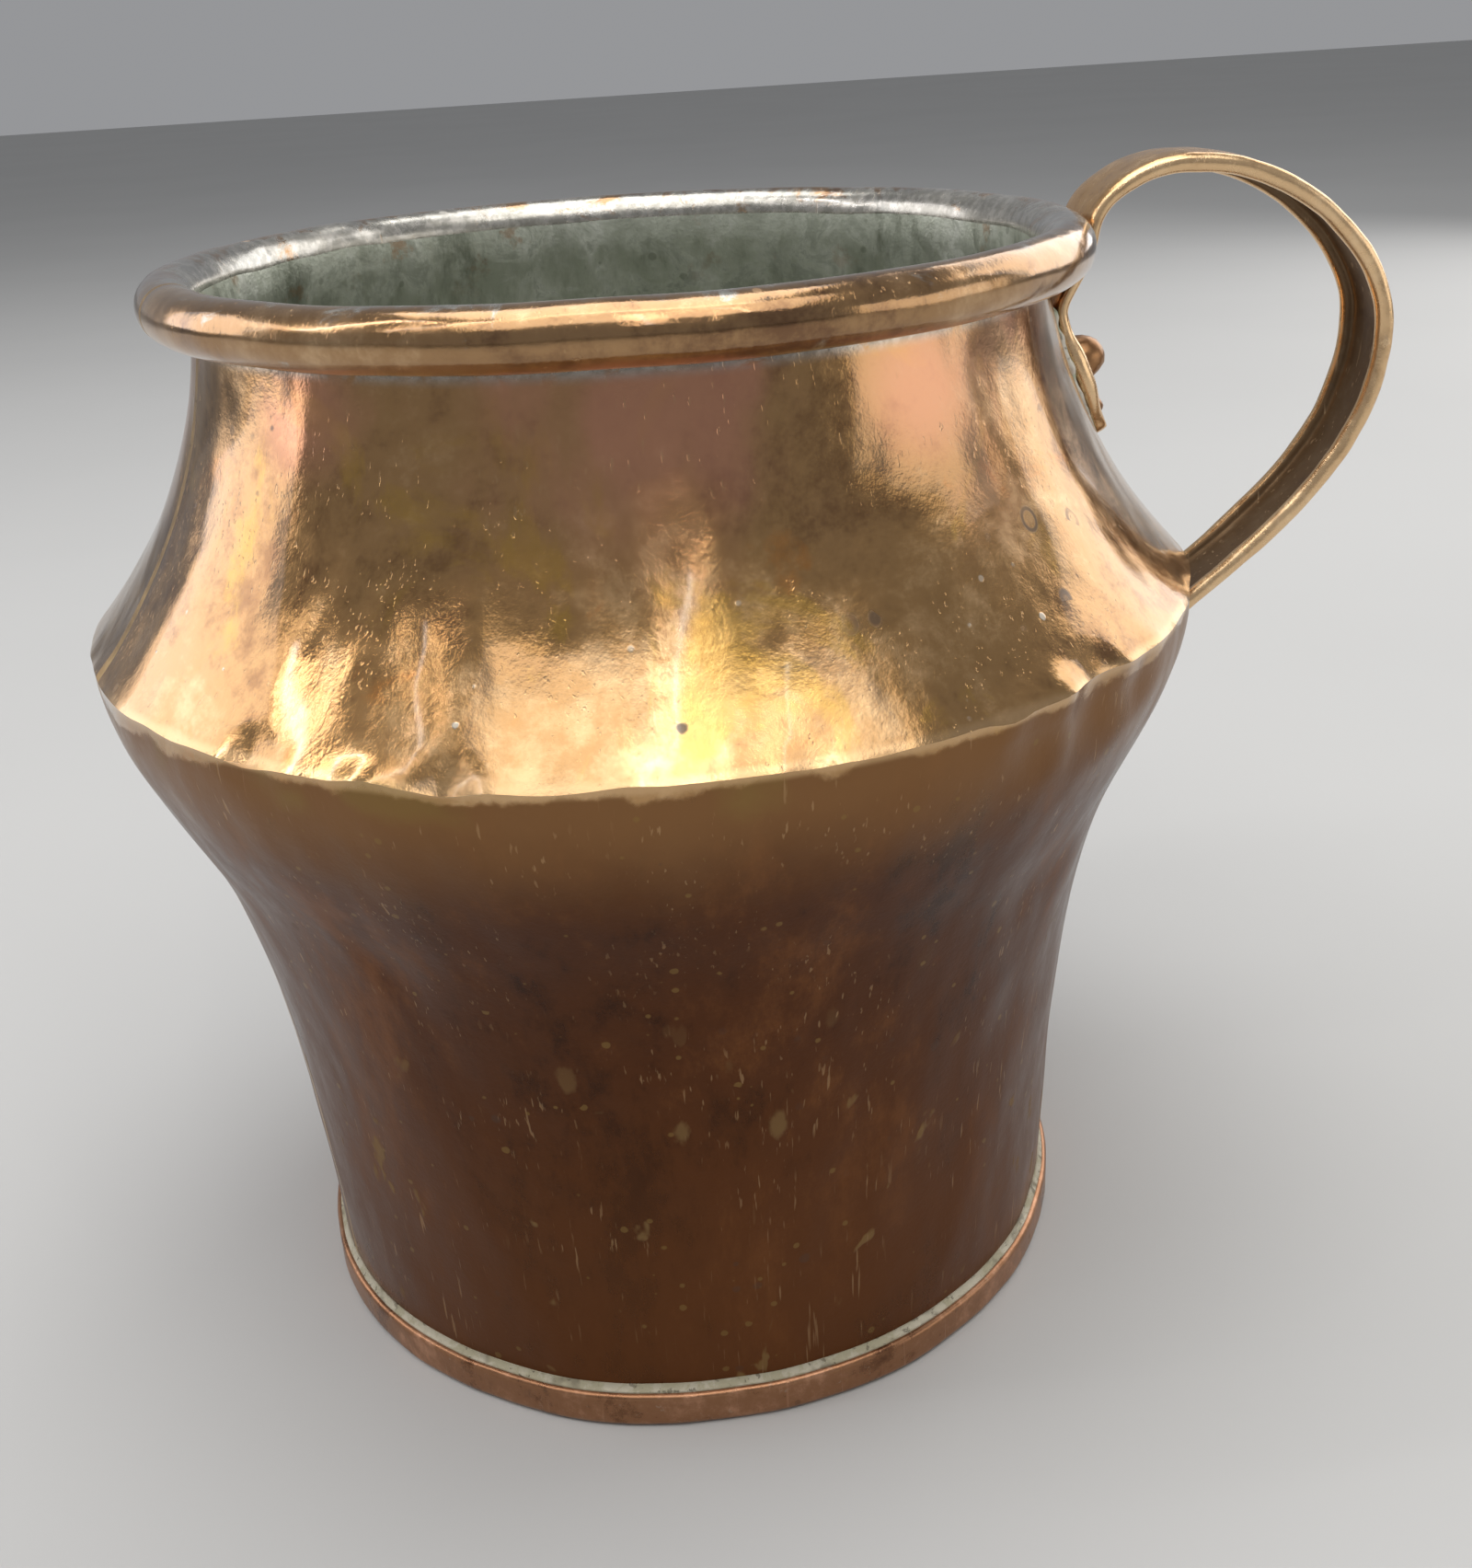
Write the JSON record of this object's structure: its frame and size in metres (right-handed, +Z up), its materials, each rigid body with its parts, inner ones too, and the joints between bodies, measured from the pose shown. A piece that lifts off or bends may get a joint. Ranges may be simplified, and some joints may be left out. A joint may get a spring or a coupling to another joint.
{
  "type": "copper mug",
  "caption": "Hand-raised copper vessel with a sharp shoulder, rolled wired rim, capped base, tinned inside and one riveted strap handle.",
  "frame": {"origin": "centre of the base's underside, on the vessel's axis", "axes": "+Z up along the vessel's axis, +X towards the middle of the handle, +Y completes the right-handed frame"},
  "size_m": [0.2595, 0.2138, 0.2183],
  "materials": {
    "copper_wall": "aged, hammered copper with brown and ochre patina, semi-gloss",
    "copper_base": "aged copper, rubbed bright along the edge",
    "copper_handle": "aged copper, golden brown where hands polish it",
    "copper_rivet": "aged copper, hammered heads",
    "iron_wire": "black iron wire, never seen",
    "tin": "wiped tin, dull grey with dark mottling",
    "solder": "tin solder, chalky and pale with verdigris",
    "braze": "brass spelter, tarnished"
  },
  "bodies": {
    "root": {"body": "copper_wall", "rim_wire": "iron_wire", "base_cap": "copper_base", "base_seam_solder": "solder", "tin_lining": "tin", "seam_braze": "braze", "handle": "copper_handle", "upper_leaf_solder": "solder", "lower_leaf_solder": "solder", "upper_large_rivet": "copper_rivet", "upper_small_rivet": "copper_rivet", "lower_large_rivet": "copper_rivet", "lower_small_rivet": "copper_rivet"}
  },
  "joints": []
}
